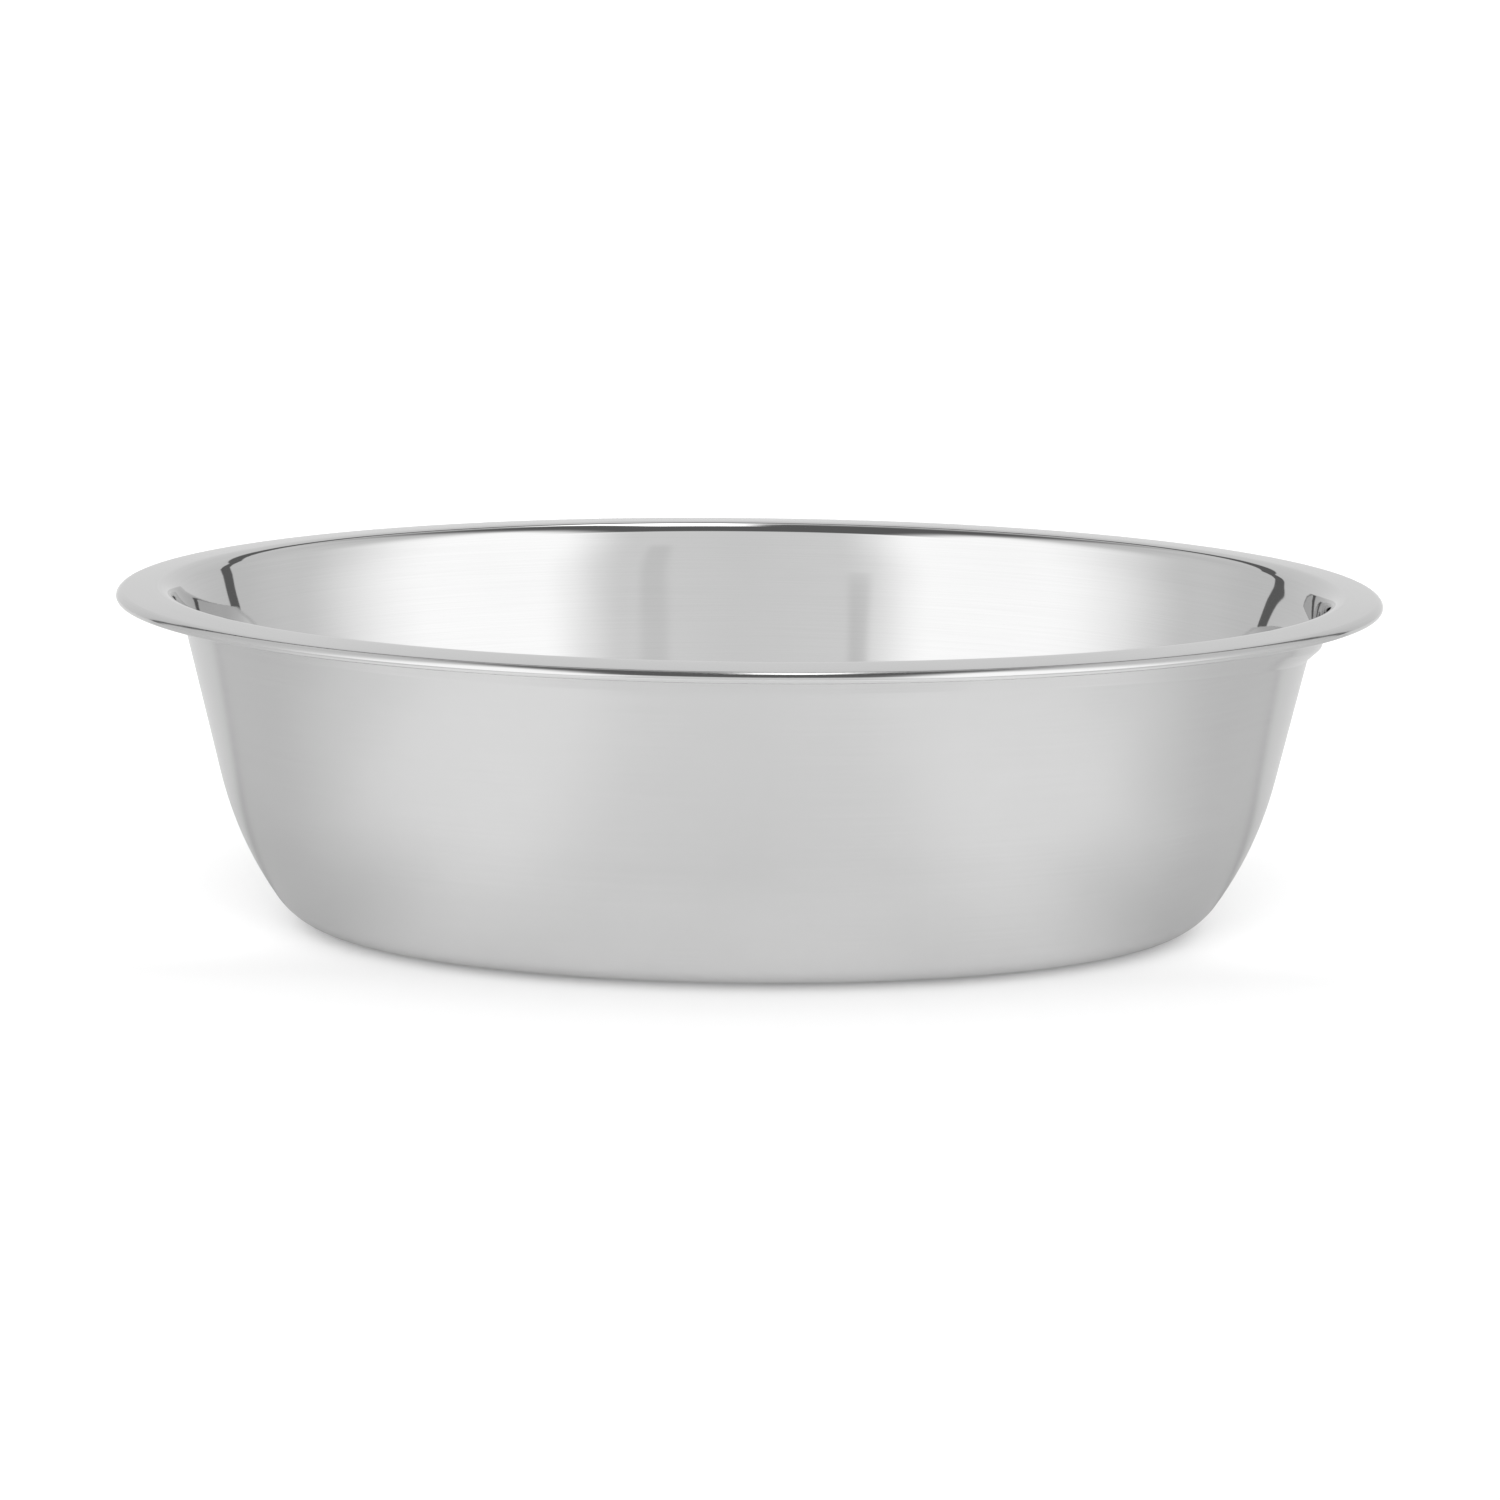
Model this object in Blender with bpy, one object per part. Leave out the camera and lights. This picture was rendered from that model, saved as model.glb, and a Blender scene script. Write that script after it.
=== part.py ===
"""Pedicure foot bath: a one-piece, deep-drawn oval basin in stainless steel.

The whole basin is one pressed sheet. Seen from above, every ring of it is an ellipse, so the shape is set by
one upright section: how far each ring lies inside the rim's outer edge (its inset), and its height above the
table. The section follows the middle of the sheet from the curled edge over the rim, round the lip, down the
neck and the wall and round the bottom corner to the floor. Both faces of the sheet stand off that line.

The neck is a single cone round most of the basin. At the +X end the rim is a little narrower, and the neck starts
steeper and then flares to meet the same wall. This change of the neck fades away faster behind the basin's middle.
"""

import math

import bmesh
import bpy

# Driving dimensions, in metres and degrees
LENGTH = 0.457            # over the rim, along X
WIDTH = 0.310             # over the rim, along Y
HEIGHT = 0.127            # table to the highest line of the rim
SHEET = 0.0008            # sheet thickness

CURL_RADIUS = 0.00145     # outside radius of the curled edge
CURL_SWEEP = 210          # turn of the curled edge, which is left open towards the rim's underside
SHOULDER_RADIUS = 0.0035  # outside radius of the wider bend from the rim down into the curl
SHOULDER_SLOPE = 60.0     # slope at which the wide bend meets the curl
RIM_WIDTH = 0.0116        # shoulder to lip, round most of the basin
RIM_NARROW = 0.0014       # the rim is this much narrower at the +X end
RIM_RISE = 5.0            # slope of the rim beside the shoulder
RIM_CROWN = 3.5           # the slope eases off by this much towards the lip
LIP_RADIUS = 0.0063       # rim turning down into the neck
NECK_LEAN = (25.0, 9.0)   # upper neck to vertical: round most of the basin, and at the +X end
FLARE_LEAN = (25.0, 50.0)  # lower neck to vertical: the same two places
NECK_LENGTH = (0.0012, 0.0125)  # upper neck along its slope: the same two places
NECK_EASE = 0.0005        # the neck's change of slope starts and ends this far from its corner
CREASE_EASE = 0.0004      # and so does the crease between the neck and the wall
BACK_FADE = 2.5           # how much faster the neck's change fades behind the +X end than in front of it
WALL_LEAN = 12.3          # wall to vertical
WALL_INSET = 0.0217       # inset of the wall's line, carried up to the rim's highest level
CORNER_RADIUS = 0.138     # wide part of the bottom corner
HEEL_LEAN = 33.0          # lean at which the wide part of the corner meets the tight part
HEEL_RADIUS = 0.0285      # tight part of the bottom corner

# Facets
AROUND = 76
CURL_STEPS = 7            # a facet's corner lies on the curl's outermost line
SHOULDER_STEPS = 3
RIM_STEPS = 2
LIP_STEPS = 4
NECK_STEPS = 2
CREASE_STEPS = 2
CORNER_STEPS = 4
HEEL_STEPS = 5


def clear_scene():
    for scene_object in list(bpy.data.objects):
        bpy.data.objects.remove(scene_object, do_unlink=True)


def steel_material():
    material = bpy.data.materials.new("stainless_steel")
    material.use_nodes = True
    shader = material.node_tree.nodes["Principled BSDF"]
    shader.inputs["Base Color"].default_value = (0.62, 0.62, 0.62, 1.0)
    shader.inputs["Metallic"].default_value = 1.0
    shader.inputs["Roughness"].default_value = 0.28
    return material


def turn(path, radius, end_heading, steps):
    """Carry the path on round an arc until it heads end_heading degrees above level."""
    inset, height, heading = path[-1]
    bend = math.radians(end_heading) - heading
    side = math.copysign(radius, bend)
    centre_inset = inset - side * math.sin(heading)
    centre_height = height + side * math.cos(heading)
    for step in range(1, steps + 1):
        angle = heading + bend * step / steps
        path.append((centre_inset + side * math.sin(angle), centre_height - side * math.cos(angle), angle))


def straight(path, length):
    inset, height, heading = path[-1]
    path.append((inset + length * math.cos(heading), height + length * math.sin(heading), heading))


def ease(path, reach, end_heading, steps):
    """Carry the path on round a corner that lies reach ahead, to end reach beyond it."""
    inset, height, heading = path[-1]
    end = math.radians(end_heading)
    for step in range(1, steps + 1):
        share = step / steps
        before = reach * share * (2 - share)
        beyond = reach * share ** 2
        rise = (1 - share) * math.sin(heading) + share * math.sin(end)
        run = (1 - share) * math.cos(heading) + share * math.cos(end)
        path.append((inset + before * math.cos(heading) + beyond * math.cos(end),
                     height + before * math.sin(heading) + beyond * math.sin(end), math.atan2(rise, run)))


def blend(pair, share):
    return pair[0] + (pair[1] - pair[0]) * share


def neck_change(angle):
    """How far the neck has its +X end's shape: 1 at that end, falling to 0 at both sides."""
    from_end = math.remainder(angle, 2 * math.pi)
    if from_end > 0:
        from_end *= BACK_FADE
    return math.cos(min(abs(from_end), math.pi / 2)) ** 5


def drop(radius, lean_from, lean_to):
    """Height that an arc loses between two leans to vertical."""
    return radius * abs(math.sin(math.radians(lean_from)) - math.sin(math.radians(lean_to)))


def section(angle):
    """Middle line of the sheet as (inset, height, heading), from the curl's free end to the floor."""
    narrowing = RIM_NARROW * max(0.0, math.cos(angle)) ** 3
    change = neck_change(angle)
    path = [(0.0, 0.0, math.radians(SHOULDER_SLOPE + CURL_SWEEP))]
    turn(path, CURL_RADIUS - SHEET / 2, SHOULDER_SLOPE, CURL_STEPS)
    turn(path, SHOULDER_RADIUS - SHEET / 2, RIM_RISE, SHOULDER_STEPS)
    outer_edge = min(inset for inset, height, heading in path) - SHEET / 2
    turn(path, (RIM_WIDTH - narrowing) / math.radians(RIM_CROWN), RIM_RISE - RIM_CROWN, RIM_STEPS)
    neck_lean = blend(NECK_LEAN, change)
    flare_lean = blend(FLARE_LEAN, change ** 2)
    turn(path, LIP_RADIUS, neck_lean - 90, LIP_STEPS)
    top = max(height for inset, height, heading in path)
    straight(path, blend(NECK_LENGTH, change) - NECK_EASE)
    ease(path, NECK_EASE, flare_lean - 90, NECK_STEPS)
    # The lower neck runs on until it meets the wall's line
    inset, height, heading = path[-1]
    wall_slope = math.tan(math.radians(WALL_LEAN))
    wall_inset = outer_edge + WALL_INSET + (top - height) * wall_slope
    gain = math.cos(heading) + math.sin(heading) * wall_slope
    straight(path, (wall_inset - inset) / gain - CREASE_EASE)
    ease(path, CREASE_EASE, WALL_LEAN - 90, CREASE_STEPS)
    still_to_fall = HEIGHT - SHEET - (top - path[-1][1])
    corner_drop = drop(CORNER_RADIUS, WALL_LEAN, HEEL_LEAN) + drop(HEEL_RADIUS, HEEL_LEAN, 90)
    straight(path, (still_to_fall - corner_drop) / math.cos(math.radians(WALL_LEAN)))
    turn(path, CORNER_RADIUS, HEEL_LEAN - 90, CORNER_STEPS)
    turn(path, HEEL_RADIUS, 0, HEEL_STEPS)
    floor_height = path[-1][1] - SHEET / 2
    return [(inset - outer_edge, height - floor_height, heading) for inset, height, heading in path]


def ring_point(inset, height, angle):
    return ((LENGTH / 2 - inset) * math.cos(angle), (WIDTH / 2 - inset) * math.sin(angle), height)


def make_basin(material):
    mesh = bpy.data.meshes.new("basin")
    builder = bmesh.new()
    upper_rings = []
    lower_rings = []
    for segment in range(AROUND):
        angle = 2 * math.pi * segment / AROUND
        upper = []
        lower = []
        for inset, height, heading in section(angle):
            across = -math.sin(heading) * SHEET / 2
            above = math.cos(heading) * SHEET / 2
            upper.append(builder.verts.new(ring_point(inset + across, height + above, angle)))
            lower.append(builder.verts.new(ring_point(inset - across, height - above, angle)))
        upper_rings.append(upper)
        lower_rings.append(lower)
    for segment in range(AROUND):
        following = (segment + 1) % AROUND
        for rings in (upper_rings, lower_rings):
            here, there = rings[segment], rings[following]
            for i in range(len(here) - 1):
                builder.faces.new((here[i], here[i + 1], there[i + 1], there[i]))
        free_edge = (upper_rings[segment][0], upper_rings[following][0],
                     lower_rings[following][0], lower_rings[segment][0])
        builder.faces.new(free_edge)
    builder.faces.new([upper[-1] for upper in upper_rings])
    builder.faces.new([lower[-1] for lower in lower_rings])
    bmesh.ops.recalc_face_normals(builder, faces=builder.faces)
    builder.to_mesh(mesh)
    builder.free()
    mesh.materials.append(material)
    mesh.shade_smooth()
    mesh.set_sharp_from_angle(angle=math.radians(40))
    basin = bpy.data.objects.new("basin", mesh)
    bpy.context.scene.collection.objects.link(basin)
    return basin


clear_scene()
make_basin(steel_material())
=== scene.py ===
"""Looks of the pedicure foot bath: the pressed-steel surface, its satin and polished finish, and the studio.

The basin repeats the CAD section in small steps. Lengths are in metres and angles in degrees.
"""

import math

import bpy
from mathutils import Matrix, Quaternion, Vector


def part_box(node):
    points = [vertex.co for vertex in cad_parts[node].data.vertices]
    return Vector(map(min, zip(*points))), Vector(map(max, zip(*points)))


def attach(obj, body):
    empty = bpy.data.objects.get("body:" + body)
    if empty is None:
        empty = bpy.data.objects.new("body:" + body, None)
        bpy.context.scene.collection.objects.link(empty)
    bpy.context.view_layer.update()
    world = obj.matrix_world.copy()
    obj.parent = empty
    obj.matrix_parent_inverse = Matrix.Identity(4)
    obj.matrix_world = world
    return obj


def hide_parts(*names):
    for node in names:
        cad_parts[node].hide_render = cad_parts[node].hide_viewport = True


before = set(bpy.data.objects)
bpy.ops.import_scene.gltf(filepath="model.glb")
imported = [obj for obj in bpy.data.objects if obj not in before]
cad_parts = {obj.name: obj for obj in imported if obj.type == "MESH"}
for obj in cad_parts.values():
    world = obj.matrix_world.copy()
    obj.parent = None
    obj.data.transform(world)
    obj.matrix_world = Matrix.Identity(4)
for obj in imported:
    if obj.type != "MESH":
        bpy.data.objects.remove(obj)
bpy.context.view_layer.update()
basin_low, basin_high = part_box("basin")

# The basin's size comes from the frame, and its section from these
LENGTH = basin_high.x - basin_low.x
WIDTH = basin_high.y - basin_low.y
HEIGHT = basin_high.z - basin_low.z
SHEET = 0.0008
CURL_RADIUS = 0.00145
CURL_SWEEP = 210
SHOULDER_RADIUS = 0.0035
SHOULDER_SLOPE = 60.0
RIM_WIDTH = 0.0116
RIM_NARROW = 0.0014
RIM_RISE = 5.0
RIM_CROWN = 3.5
LIP_RADIUS = 0.0063
NECK_LEAN = (25.0, 9.0)     # round most of the basin, and at the +X end
FLARE_LEAN = (25.0, 50.0)
NECK_LENGTH = (0.0012, 0.0125)
NECK_EASE = {+1: (0.0010, 0.0034), -1: (0.0010, 0.0010)}      # inner and outer face
CREASE_EASE = {+1: (0.0060, 0.0028), -1: (0.0003, 0.0003)}    # the inner bends are the softer
BACK_FADE = 2.5             # how much faster the +X end's shape fades behind it than in front of it
WALL_LEAN = 12.3
WALL_INSET = 0.0217
CORNER_RADIUS = 0.138
HEEL_LEAN = 33.0
HEEL_RADIUS = 0.0285

# Fine steps
AROUND = 360
CURL_STEPS = 21
SHOULDER_STEPS = 9
RIM_STEPS = 5
LIP_STEPS = 14
NECK_STEPS = 4
NECK_EASE_STEPS = 8
FLARE_STEPS = 4
CREASE_STEPS = 8
WALL_STEPS = 10
CORNER_STEPS = 12
HEEL_STEPS = 14
FLOOR_RINGS = 12

# Edges of the shading that count as sharp
SHARP_ANGLE = 50.0

# Steel
RIM_POLISH = 0.55       # between the satin outside, 0, and the polished inside, 1
SATIN_ROUGHNESS = (0.17, 0.23)
MIRROR_ROUGHNESS = (0.03, 0.06)
STEEL_TONE = (0.60, 0.635)      # satin, and polished
UNEVEN_TONE = (0.975, 1.025)    # how far the lines and the clouds each change the tone
WAVE_DEPTH = 0.00012
LINE_DEPTH = 0.000002
SCRATCH_DEPTH = 0.0000006

# Camera
CAMERA_TARGET = Vector((0.0007, 0.0, 0.0657))
CAMERA_DISTANCE = 1.485
CAMERA_ELEVATION = 12.72
CAMERA_ROLL = 0.59
CAMERA_LENS = 0.0975
SENSOR_WIDTH = 0.036

# Brightness of the studio in each direction. Azimuth 0 is behind the camera, with a softbox to each side.
GAP_AZIMUTH = 2.0       # the gap between the softboxes is centred a little to the right
STUDIO = (              # (azimuth either side of the gap's centre, radiance)
    (0.0, 0.88),
    (14.0, 0.92),       # gap between the softboxes, where the camera stands
    (27.0, 1.50),
    (45.0, 1.50),       # softbox
    (84.0, 0.83),       # its light falls off towards the side walls
    (110.0, 0.76),
    (150.0, 0.82),      # white backdrop
)
DARK_RADIANCE = 0.15    # unlit gaps between the panels
CEILING_HALF_WIDTH = (0.20, 0.38)    # as the sideways part of its direction: fully dark, and gone
CEILING_FRONT = (-0.56, -0.64)       # as the part of its direction along +Y
CEILING_BACK = (0.30, 0.60)
BACKDROP_WIDTH = 1.93   # half the backdrop's width and its height, as parts of its distance
BACKDROP_HEIGHT = 1.06
BACKDROP_TAPER = 0.30   # it narrows upwards
BACKDROP_GAP = 0.33     # width of the dark gap round the backdrop, as a part of each of these
BACKDROP_SOFT = 0.02    # and the softness of the gap's edges, either side of them
STANDS = (              # faint dark stands: (azimuth, half width, top as an upward part, tone)
    (12.6, 1.7, 0.60, 0.885),
    (-14.5, 1.3, 0.26, 0.79),
)
STAND_EDGE = (0.5, 1.5)     # a stand fades out between these parts of its half width
STAND_TOP = (-0.05, 0.03)   # and between these heights beside its top
LAMP_RADIANCE = 2.6     # lamp hanging in the ceiling gap
LAMP_SIDE = (0.0, 0.088)          # as the part of its direction along X
LAMP_BACK = (0.06, 0.52)             # and along +Y
LAMP_RISE = (0.5, 0.6)               # it fades in between these upward parts
LAMP_SOFT = 0.02

# Floor
FLOOR_RADIUS = 40.0
FLOOR_CORNERS = 96
FLOOR_ROUGHNESS = 0.9
FLOOR_SPECULAR = 0.1
FLOOR_TONE = (0.78, 0.98)       # darker in front of the basin, painted shade that deepens its shadow there, and lighter from its middle backwards, painted light that whitens the shadows beside it
FLOOR_TONE_CHANGE = (-0.075, -0.015)    # between these distances along +Y
# The floor as the steel sees it, a painted reflection: painted shade towards both sides, and near the base
# painted shade at the sides with a painted lighter middle: (distance from the middle, tone)
REFLECTED_FRONT_SHADE = ((0.0, 0.71), (0.06, 0.73), (0.14, 0.82), (0.22, 0.81), (0.30, 0.70), (0.38, 0.58))
REFLECTED_NEAR_BASE_LIGHT_AND_SHADE = ((0.0, 0.90), (0.10, 0.80), (0.17, 0.60), (0.38, 0.56))
NEAR_BASE_SHADE_FADE = (-0.17, -0.03)     # the painted shade near the base fades in between these distances along +Y
SHADE_EDGE_SLANT = 0.35               # the painted shade ends along a line slanting back from the basin's middle
# Along that edge: a painted darker line, and painted light behind it
SHADE_EDGE_BACK = -0.04
SHADE_EDGE_WIDTH = 0.02
SHADE_EDGE_LINE_TONE = -0.14
LIGHT_BEHIND_SHADE_EDGE = 0.07
FLOOR_LIGHTS = (         # over the camera's side of the floor: (elevation, spread, strength)
    (50.0, 70.0, 1.6),
    (12.0, 16.0, 3.2),
)


# Basin surface

def turn(path, radius, end_heading, steps):
    """Carry the path on round an arc until it heads end_heading degrees above level."""
    inset, height, heading = path[-1]
    bend = math.radians(end_heading) - heading
    side = math.copysign(radius, bend)
    centre_inset = inset - side * math.sin(heading)
    centre_height = height + side * math.cos(heading)
    for step in range(1, steps + 1):
        angle = heading + bend * step / steps
        path.append((centre_inset + side * math.sin(angle), centre_height - side * math.cos(angle), angle))


def straight(path, length, steps):
    inset, height, heading = path[-1]
    for step in range(1, steps + 1):
        along = length * step / steps
        path.append((inset + along * math.cos(heading), height + along * math.sin(heading), heading))


def ease(path, reach, end_heading, steps):
    """Carry the path on round a corner that lies reach ahead, to end reach beyond it."""
    inset, height, heading = path[-1]
    end = math.radians(end_heading)
    for step in range(1, steps + 1):
        share = step / steps
        before = reach * share * (2 - share)
        beyond = reach * share ** 2
        rise = (1 - share) * math.sin(heading) + share * math.sin(end)
        run = (1 - share) * math.cos(heading) + share * math.cos(end)
        path.append((inset + before * math.cos(heading) + beyond * math.cos(end),
                     height + before * math.sin(heading) + beyond * math.sin(end), math.atan2(rise, run)))


def blend(pair, share):
    return pair[0] + (pair[1] - pair[0]) * share


def neck_change(angle):
    """How far the neck has its +X end's shape: 1 at that end, falling to 0 at both sides."""
    from_end = math.remainder(angle, 2 * math.pi)
    if from_end > 0:
        from_end *= BACK_FADE
    return math.cos(min(abs(from_end), math.pi / 2)) ** 5


def drop(radius, lean_from, lean_to):
    """Height that an arc loses between two leans to vertical."""
    return radius * abs(math.sin(math.radians(lean_from)) - math.sin(math.radians(lean_to)))


def section(angle, side):
    """Middle line of the sheet as (inset, height, heading), from the curl's free end to the floor.

    side is +1 for the inner face and -1 for the outer.
    """
    narrowing = RIM_NARROW * max(0.0, math.cos(angle)) ** 3
    change = neck_change(angle)
    path = [(0.0, 0.0, math.radians(SHOULDER_SLOPE + CURL_SWEEP))]
    turn(path, CURL_RADIUS - SHEET / 2, SHOULDER_SLOPE, CURL_STEPS)
    turn(path, SHOULDER_RADIUS - SHEET / 2, RIM_RISE, SHOULDER_STEPS)
    outer_edge = min(inset for inset, height, heading in path) - SHEET / 2
    turn(path, (RIM_WIDTH - narrowing) / math.radians(RIM_CROWN), RIM_RISE - RIM_CROWN, RIM_STEPS)
    turn(path, LIP_RADIUS, blend(NECK_LEAN, change) - 90, LIP_STEPS)
    top = max(height for inset, height, heading in path)
    neck_reach = blend(NECK_EASE[side], change)
    straight(path, blend(NECK_LENGTH, change) - neck_reach, NECK_STEPS)
    ease(path, neck_reach, blend(FLARE_LEAN, change ** 2) - 90, NECK_EASE_STEPS)
    # The lower neck runs on until it meets the wall's line
    inset, height, heading = path[-1]
    wall_slope = math.tan(math.radians(WALL_LEAN))
    wall_inset = outer_edge + WALL_INSET + (top - height) * wall_slope
    gain = math.cos(heading) + math.sin(heading) * wall_slope
    crease_reach = blend(CREASE_EASE[side], change)
    straight(path, (wall_inset - inset) / gain - crease_reach, FLARE_STEPS)
    ease(path, crease_reach, WALL_LEAN - 90, CREASE_STEPS)
    still_to_fall = HEIGHT - SHEET - (top - path[-1][1])
    corner_drop = drop(CORNER_RADIUS, WALL_LEAN, HEEL_LEAN) + drop(HEEL_RADIUS, HEEL_LEAN, 90)
    straight(path, (still_to_fall - corner_drop) / math.cos(math.radians(WALL_LEAN)), WALL_STEPS)
    turn(path, CORNER_RADIUS, HEEL_LEAN - 90, CORNER_STEPS)
    turn(path, HEEL_RADIUS, 0, HEEL_STEPS)
    floor_height = path[-1][1] - SHEET / 2
    return [(inset - outer_edge, height - floor_height, heading) for inset, height, heading in path]


def ring_point(inset, height, angle):
    return ((LENGTH / 2 - inset) * math.cos(angle), (WIDTH / 2 - inset) * math.sin(angle), height)


def sheet_side(side):
    """Points of the sheet's inner (+1) or outer (-1) face, one list for each angle, in to the floor's middle.

    The brushing follows the rings, so each point also gets its grain: its direction round the basin, and how
    far down the section it lies.
    """
    columns = []
    grains = []
    for segment in range(AROUND):
        angle = 2 * math.pi * segment / AROUND
        column = []
        grain = []
        along = 0.0
        before = None
        for inset, height, heading in section(angle, side):
            across = -side * math.sin(heading) * SHEET / 2
            above = side * math.cos(heading) * SHEET / 2
            column.append(ring_point(inset + across, height + above, angle))
            along += math.dist((inset, height), before) if before else 0.0
            before = (inset, height)
            grain.append((math.cos(angle), math.sin(angle), along))
        x, y, z = column[-1]
        for ring in range(1, FLOOR_RINGS):
            scale = 1 - ring / FLOOR_RINGS
            column.append((x * scale, y * scale, z))
            inwards = along + math.hypot(x, y) * (1 - scale)
            grain.append((math.cos(angle) * scale, math.sin(angle) * scale, inwards))
        columns.append(column)
        grains.append(grain)
    return columns, grains


def make_basin():
    inner, inner_grain = sheet_side(+1)
    outer, outer_grain = sheet_side(-1)
    rows = len(inner[0])
    verts = [point for column in inner + outer for point in column]
    faces = []
    for side_start, flip in ((0, False), (AROUND * rows, True)):
        for segment in range(AROUND):
            here = side_start + segment * rows
            there = side_start + (segment + 1) % AROUND * rows
            for row in range(rows - 1):
                face = (here + row, here + row + 1, there + row + 1, there + row)
                faces.append(face if flip else face[::-1])
        centre = [side_start + segment * rows + rows - 1 for segment in range(AROUND)]
        faces.append(centre[::-1] if flip else centre)
    for segment in range(AROUND):
        here = segment * rows
        there = (segment + 1) % AROUND * rows
        faces.append((here, there, AROUND * rows + there, AROUND * rows + here))
    mesh = bpy.data.meshes.new("steel_basin")
    mesh.from_pydata(verts, [], faces)
    grain = mesh.attributes.new("grain", "FLOAT_VECTOR", "POINT")
    vectors = [vector for column in inner_grain + outer_grain for vector in column]
    grain.data.foreach_set("vector", [part for vector in vectors for part in vector])
    polish = mesh.attributes.new("polish", "FLOAT", "POINT")
    polished = [1.0 if row > rim_rows() else RIM_POLISH for row in range(rows)]
    polish.data.foreach_set("value", polished * AROUND + [0.0] * rows * AROUND)
    mesh.shade_smooth()
    mesh.set_sharp_from_angle(angle=math.radians(SHARP_ANGLE))
    basin = bpy.data.objects.new("steel_basin", mesh)
    bpy.context.scene.collection.objects.link(basin)
    return basin


def rim_rows():
    """Rows of points from the curl's free end to the lip's bend, where the polished inside starts."""
    return CURL_STEPS + SHOULDER_STEPS + RIM_STEPS


# Materials

def add(tree, kind, **settings):
    node = tree.nodes.new(kind)
    for name, value in settings.items():
        setattr(node, name, value)
    return node


def math_node(tree, operation, first, second=None, third=None):
    node = add(tree, "ShaderNodeMath", operation=operation)
    for index, value in enumerate((first, second, third)):
        if value is None:
            continue
        if isinstance(value, (int, float)):
            node.inputs[index].default_value = value
        else:
            tree.links.new(value, node.inputs[index])
    return node.outputs[0]


def smooth_range(tree, value, start, end, low=0.0, high=1.0, kind="SMOOTHSTEP"):
    node = add(tree, "ShaderNodeMapRange", interpolation_type=kind)
    tree.links.new(value, node.inputs["Value"])
    node.inputs["From Min"].default_value = start
    node.inputs["From Max"].default_value = end
    node.inputs["To Min"].default_value = low
    node.inputs["To Max"].default_value = high
    return node.outputs["Result"]


def noise(tree, vector, stretch, detail, roughness=0.5):
    """Noise whose grains are 1 / stretch long along each axis of the vector."""
    scaled = add(tree, "ShaderNodeVectorMath", operation="MULTIPLY")
    tree.links.new(vector, scaled.inputs[0])
    scaled.inputs[1].default_value = stretch
    node = add(tree, "ShaderNodeTexNoise")
    tree.links.new(scaled.outputs[0], node.inputs["Vector"])
    node.inputs["Scale"].default_value = 1.0
    node.inputs["Detail"].default_value = detail
    node.inputs["Roughness"].default_value = roughness
    return node.outputs["Fac"]


def bump(tree, height, distance, below=None):
    node = add(tree, "ShaderNodeBump")
    node.inputs["Strength"].default_value = 1.0
    node.inputs["Distance"].default_value = distance
    tree.links.new(height, node.inputs["Height"])
    if below is not None:
        tree.links.new(below, node.inputs["Normal"])
    return node.outputs["Normal"]


def steel_material():
    """Stainless steel: satin outside with fine lines along the rings, polished inside, and a little wavy."""
    material = bpy.data.materials.new("stainless_steel")
    material.use_nodes = True
    tree = material.node_tree
    shader = tree.nodes["Principled BSDF"]
    shader.inputs["Metallic"].default_value = 1.0
    grain = add(tree, "ShaderNodeAttribute", attribute_name="grain").outputs["Vector"]
    polish = add(tree, "ShaderNodeAttribute", attribute_name="polish").outputs["Fac"]
    place = add(tree, "ShaderNodeTexCoord").outputs["Object"]

    lines = noise(tree, grain, (3.0, 3.0, 2200.0), 4.0, 0.6)
    scratches = noise(tree, grain, (40.0, 40.0, 5000.0), 2.0)
    clouds = noise(tree, place, (14.0, 14.0, 14.0), 3.0)
    waves = noise(tree, place, (22.0, 22.0, 9.0), 2.0)

    # Roughness: satin outside, polished inside, both a little uneven
    satin = smooth_range(tree, lines, 0.3, 0.7, *SATIN_ROUGHNESS, "LINEAR")
    mirror = smooth_range(tree, clouds, 0.3, 0.7, *MIRROR_ROUGHNESS, "LINEAR")
    difference = math_node(tree, "SUBTRACT", mirror, satin)
    rough = math_node(tree, "MULTIPLY_ADD", difference, polish, satin)
    tree.links.new(rough, shader.inputs["Roughness"])

    # Colour: neutral steel with faint lines and clouds
    line_tone = smooth_range(tree, lines, 0.25, 0.75, *UNEVEN_TONE, "LINEAR")
    cloud_tone = smooth_range(tree, clouds, 0.25, 0.75, *UNEVEN_TONE, "LINEAR")
    tone = math_node(tree, "MULTIPLY", line_tone, cloud_tone)
    side_tone = smooth_range(tree, polish, 0.0, 1.0, *STEEL_TONE, "LINEAR")
    tone = math_node(tree, "MULTIPLY", tone, side_tone)
    colour = add(tree, "ShaderNodeCombineColor")
    for channel in ("Red", "Green", "Blue"):
        tree.links.new(tone, colour.inputs[channel])
    tree.links.new(colour.outputs["Color"], shader.inputs["Base Color"])

    normal = bump(tree, waves, WAVE_DEPTH)
    normal = bump(tree, lines, LINE_DEPTH, normal)
    normal = bump(tree, scratches, SCRATCH_DEPTH, normal)
    tree.links.new(normal, shader.inputs["Normal"])
    return material


def tone_ramp(tree, value, stops):
    """Tone that runs smoothly through the stops, each (value, tone)."""
    ramp = add(tree, "ShaderNodeValToRGB")
    ramp.color_ramp.interpolation = "EASE"
    widest = stops[-1][0]
    elements = ramp.color_ramp.elements
    while len(elements) < len(stops):
        elements.new(0.5)
    for element, (position, tone) in zip(elements, stops):
        element.position = position / widest
        element.color = (tone, tone, tone, 1.0)
    tree.links.new(math_node(tree, "DIVIDE", value, widest), ramp.inputs["Fac"])
    return ramp.outputs["Color"]


def mix(tree, factor, first, second):
    node = add(tree, "ShaderNodeMix", data_type="FLOAT")
    for name, value in (("Factor", factor), ("A", first), ("B", second)):
        if isinstance(value, (int, float)):
            node.inputs[name].default_value = value
        else:
            tree.links.new(value, node.inputs[name])
    return node.outputs["Result"]


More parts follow.
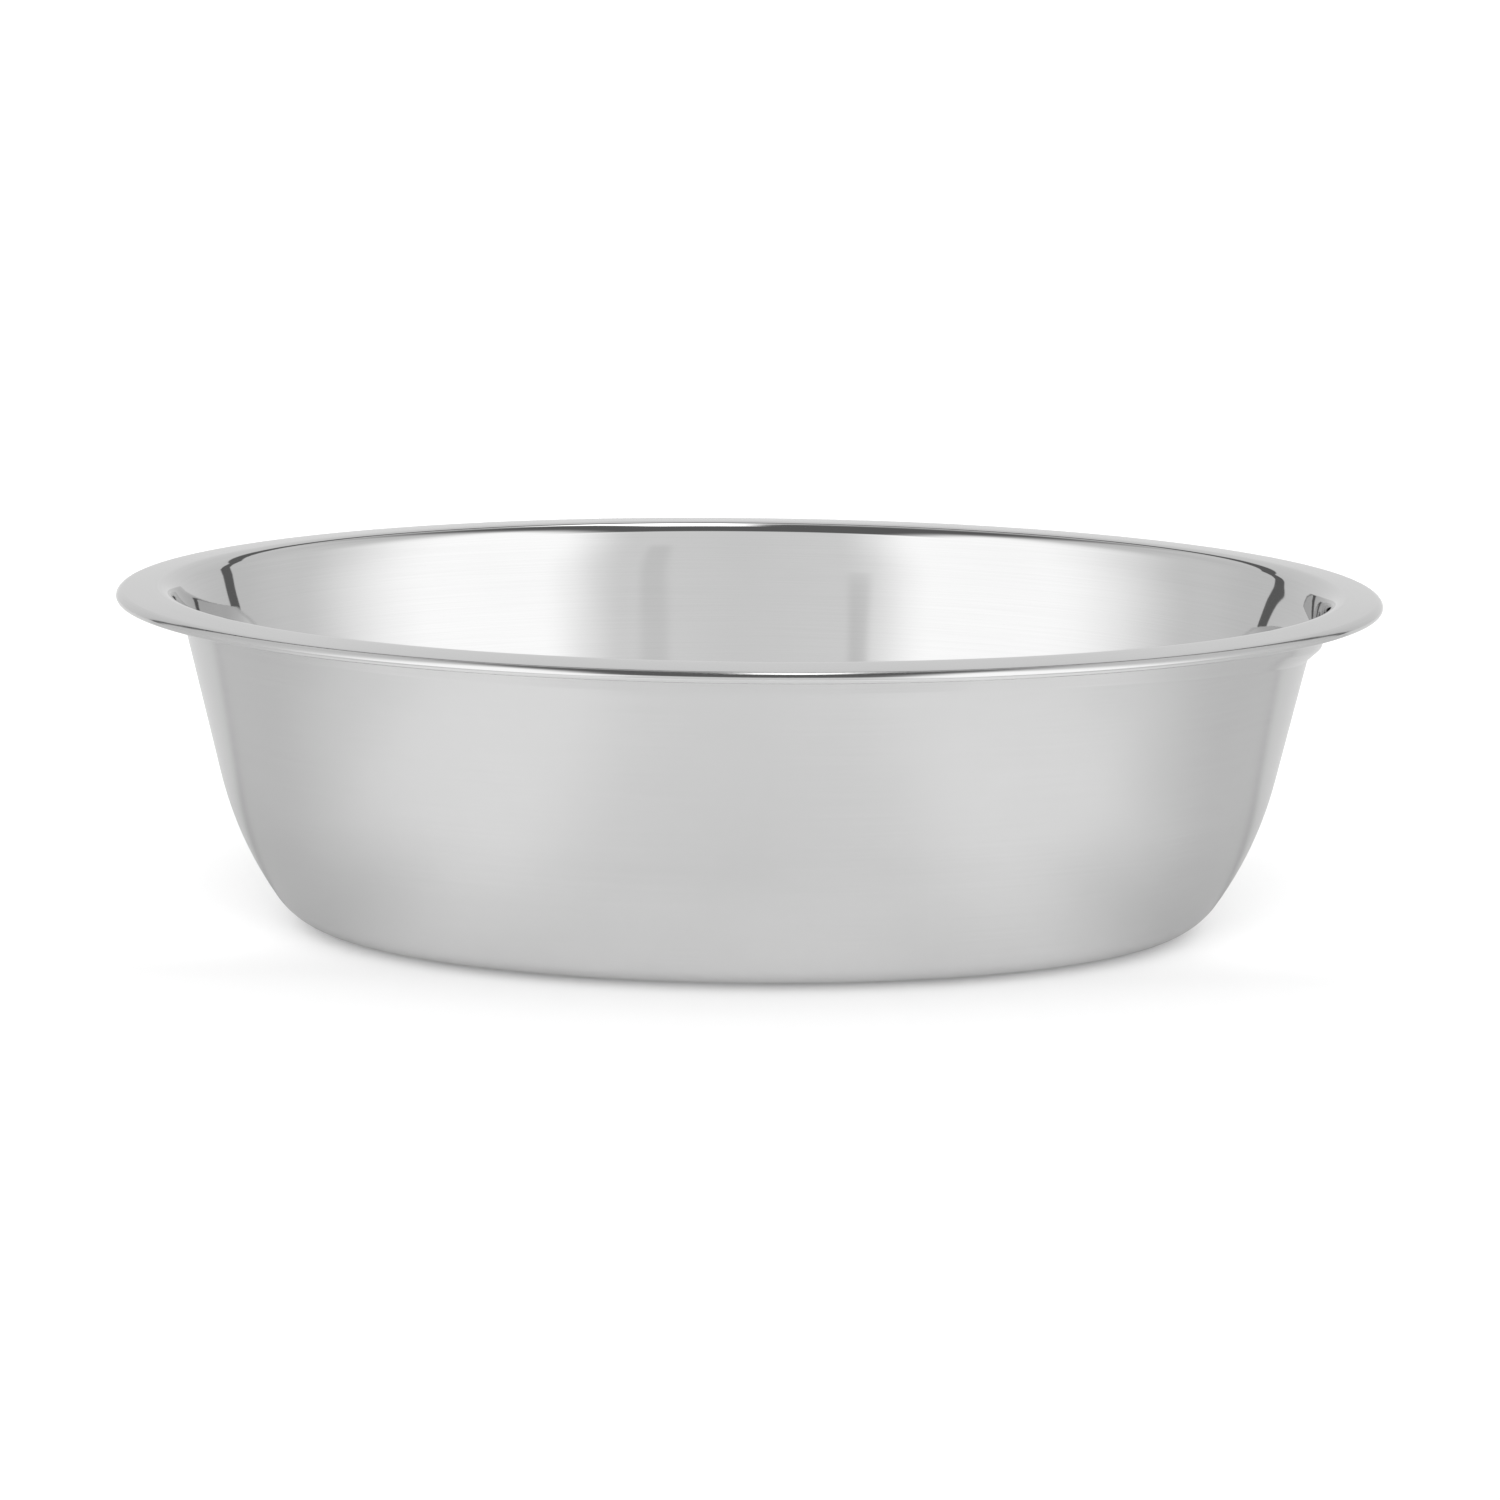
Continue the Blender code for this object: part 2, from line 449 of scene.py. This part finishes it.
def floor_material():
    """A pale floor with painted light and shade. As the camera sees it, it is darker in front of the basin
    and lighter behind it. As the steel sees it, it is a painted reflection, with painted shade towards the
    sides and near the base and a painted darker line along a slanting edge.
    """
    material = bpy.data.materials.new("pale_floor")
    material.use_nodes = True
    tree = material.node_tree
    shader = tree.nodes["Principled BSDF"]
    shader.inputs["Roughness"].default_value = FLOOR_ROUGHNESS
    shader.inputs["Specular IOR Level"].default_value = FLOOR_SPECULAR
    parts = add(tree, "ShaderNodeSeparateXYZ")
    tree.links.new(add(tree, "ShaderNodeTexCoord").outputs["Object"], parts.inputs[0])
    sideways = math_node(tree, "ABSOLUTE", parts.outputs["X"])
    # Painted shade towards the sides and near the base, with a painted lighter middle near the base, seen
    # only in the steel's reflections
    near_base_share = smooth_range(tree, parts.outputs["Y"], *NEAR_BASE_SHADE_FADE)
    front_shade = tone_ramp(tree, sideways, REFLECTED_FRONT_SHADE)
    near_base_light_and_shade = tone_ramp(tree, sideways, REFLECTED_NEAR_BASE_LIGHT_AND_SHADE)
    reflected = mix(tree, near_base_share, front_shade, near_base_light_and_shade)

    # Painted darker line along the painted shade's slanting back edge, and painted light behind it, seen only
    # in the steel
    slanted = math_node(tree, "MULTIPLY_ADD", sideways, -SHADE_EDGE_SLANT, parts.outputs["Y"])
    border_back = SHADE_EDGE_BACK + SHADE_EDGE_WIDTH
    behind = smooth_range(tree, slanted, SHADE_EDGE_BACK, border_back, 0.0, LIGHT_BEHIND_SHADE_EDGE)
    border = smooth_range(tree, slanted, SHADE_EDGE_BACK - SHADE_EDGE_WIDTH, SHADE_EDGE_BACK)
    border_end = smooth_range(tree, slanted, SHADE_EDGE_BACK, border_back, SHADE_EDGE_LINE_TONE, 0.0)
    reflected = math_node(tree, "ADD", reflected, behind)
    reflected = math_node(tree, "MULTIPLY_ADD", border, border_end, reflected)

    # As the camera sees it, the floor is painted darker in front of the basin and lighter behind it: painted
    # shade and painted light
    seen = smooth_range(tree, parts.outputs["Y"], *FLOOR_TONE_CHANGE, *FLOOR_TONE)
    tone = mix(tree, add(tree, "ShaderNodeLightPath").outputs["Is Glossy Ray"], seen, reflected)
    colour = add(tree, "ShaderNodeCombineColor")
    for channel in ("Red", "Green", "Blue"):
        tree.links.new(tone, colour.inputs[channel])
    tree.links.new(colour.outputs["Color"], shader.inputs["Base Color"])
    return material


# Studio

def make_floor():
    mesh = bpy.data.meshes.new("studio_floor")
    angles = [2 * math.pi * i / FLOOR_CORNERS for i in range(FLOOR_CORNERS)]
    ring = [(FLOOR_RADIUS * math.cos(angle), FLOOR_RADIUS * math.sin(angle), 0.0) for angle in angles]
    mesh.from_pydata(ring, [], [tuple(range(FLOOR_CORNERS))])
    mesh.materials.append(floor_material())
    floor = bpy.data.objects.new("studio_floor", mesh)
    bpy.context.scene.collection.objects.link(floor)


def make_world():
    world = bpy.data.worlds.new("studio_world")
    bpy.context.scene.world = world
    world.use_nodes = True
    tree = world.node_tree
    background = tree.nodes["Background"]
    direction = add(tree, "ShaderNodeTexCoord").outputs["Generated"]
    parts = add(tree, "ShaderNodeSeparateXYZ")
    tree.links.new(direction, parts.inputs[0])
    x, y, z = parts.outputs["X"], parts.outputs["Y"], parts.outputs["Z"]

    backwards = math_node(tree, "MULTIPLY", y, -1.0)
    azimuth = math_node(tree, "ARCTAN2", x, backwards)
    off_centre = math_node(tree, "ABSOLUTE", math_node(tree, "SUBTRACT", azimuth, math.radians(GAP_AZIMUTH)))
    degrees_off = math_node(tree, "DIVIDE", off_centre, math.radians(1))
    round_studio = tone_ramp(tree, degrees_off, STUDIO)

    for stand_azimuth, half_width, top, tone in STANDS:
        offset = math_node(tree, "SUBTRACT", azimuth, math.radians(stand_azimuth))
        off_stand = math_node(tree, "ABSOLUTE", offset)
        edges = [math.radians(half_width * part) for part in STAND_EDGE]
        stand = smooth_range(tree, off_stand, *edges, 1.0, 0.0)
        below_top = smooth_range(tree, z, top + STAND_TOP[0], top + STAND_TOP[1], 1.0, 0.0)
        stand = math_node(tree, "MULTIPLY", stand, below_top)
        stand_tone = math_node(tree, "MULTIPLY_ADD", stand, tone - 1.0, 1.0)
        round_studio = math_node(tree, "MULTIPLY", round_studio, stand_tone)

    sideways = math_node(tree, "ABSOLUTE", x)
    ceiling = smooth_range(tree, sideways, *CEILING_HALF_WIDTH, 1.0, 0.0)
    ceiling = math_node(tree, "MULTIPLY", ceiling, smooth_range(tree, y, *reversed(CEILING_FRONT)))
    ceiling = math_node(tree, "MULTIPLY", ceiling, smooth_range(tree, y, *CEILING_BACK, 1.0, 0.0))

    # The backdrop is a rectangle facing the camera; this is 1 all along its edge, and grows outwards
    ahead = math_node(tree, "MAXIMUM", y, 0.01)
    rise = math_node(tree, "DIVIDE", z, ahead)
    taper = math_node(tree, "MULTIPLY_ADD", rise, BACKDROP_TAPER / BACKDROP_WIDTH, 1 / BACKDROP_WIDTH)
    across = math_node(tree, "MULTIPLY", math_node(tree, "DIVIDE", sideways, ahead), taper)
    upwards = math_node(tree, "DIVIDE", rise, BACKDROP_HEIGHT)
    outwards = math_node(tree, "MAXIMUM", across, upwards)
    gap_start = smooth_range(tree, outwards, 1 - BACKDROP_SOFT, 1 + BACKDROP_SOFT)
    gap_outside = 1 + BACKDROP_GAP
    gap_end = smooth_range(tree, outwards, gap_outside - BACKDROP_SOFT, gap_outside + BACKDROP_SOFT, 1.0, 0.0)
    frame_gap = math_node(tree, "MULTIPLY", gap_start, gap_end)

    gaps = math_node(tree, "MAXIMUM", ceiling, frame_gap)
    darker = math_node(tree, "SUBTRACT", DARK_RADIANCE, round_studio)
    radiance = math_node(tree, "MULTIPLY_ADD", darker, gaps, round_studio)

    lamp = smooth_range(tree, z, *LAMP_RISE)
    for along, (start, end) in ((x, LAMP_SIDE), (y, LAMP_BACK)):
        past_start = smooth_range(tree, along, start - LAMP_SOFT, start + LAMP_SOFT)
        before_end = smooth_range(tree, along, end - LAMP_SOFT, end + LAMP_SOFT, 1.0, 0.0)
        lamp = math_node(tree, "MULTIPLY", lamp, past_start)
        lamp = math_node(tree, "MULTIPLY", lamp, before_end)
    tree.links.new(mix(tree, lamp, radiance, LAMP_RADIANCE), background.inputs["Color"])


def make_camera():
    data = bpy.data.cameras.new("camera")
    data.sensor_width = SENSOR_WIDTH * 1000
    data.lens = CAMERA_LENS * 1000
    camera = bpy.data.objects.new("camera", data)
    bpy.context.scene.collection.objects.link(camera)
    elevation = math.radians(CAMERA_ELEVATION)
    back = Vector((0.0, -math.cos(elevation), math.sin(elevation)))
    camera.location = CAMERA_TARGET + back * CAMERA_DISTANCE
    camera.rotation_mode = "QUATERNION"
    level = (-back).to_track_quat("-Z", "Y")
    camera.rotation_quaternion = level @ Quaternion((0.0, 0.0, 1.0), math.radians(CAMERA_ROLL))
    bpy.context.scene.camera = camera


def make_floor_lights():
    """Soft lights that whiten the floor in front of the basin and beside it, and aren't seen in the steel."""
    for degrees, spread, strength in FLOOR_LIGHTS:
        elevation = math.radians(degrees)
        data = bpy.data.lights.new("floor_light", "SUN")
        data.energy = strength
        data.angle = math.radians(spread)
        light = bpy.data.objects.new("floor_light", data)
        light.rotation_mode = "QUATERNION"
        towards = Vector((0.0, -math.cos(elevation), math.sin(elevation)))
        light.rotation_quaternion = towards.to_track_quat("Z", "Y")
        light.visible_glossy = False
        bpy.context.scene.collection.objects.link(light)


make_camera()
basin = make_basin()
basin.data.materials.append(steel_material())
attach(basin, "root")
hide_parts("basin")
make_floor()
make_world()
make_floor_lights()
bpy.context.scene.view_settings.view_transform = "Standard"
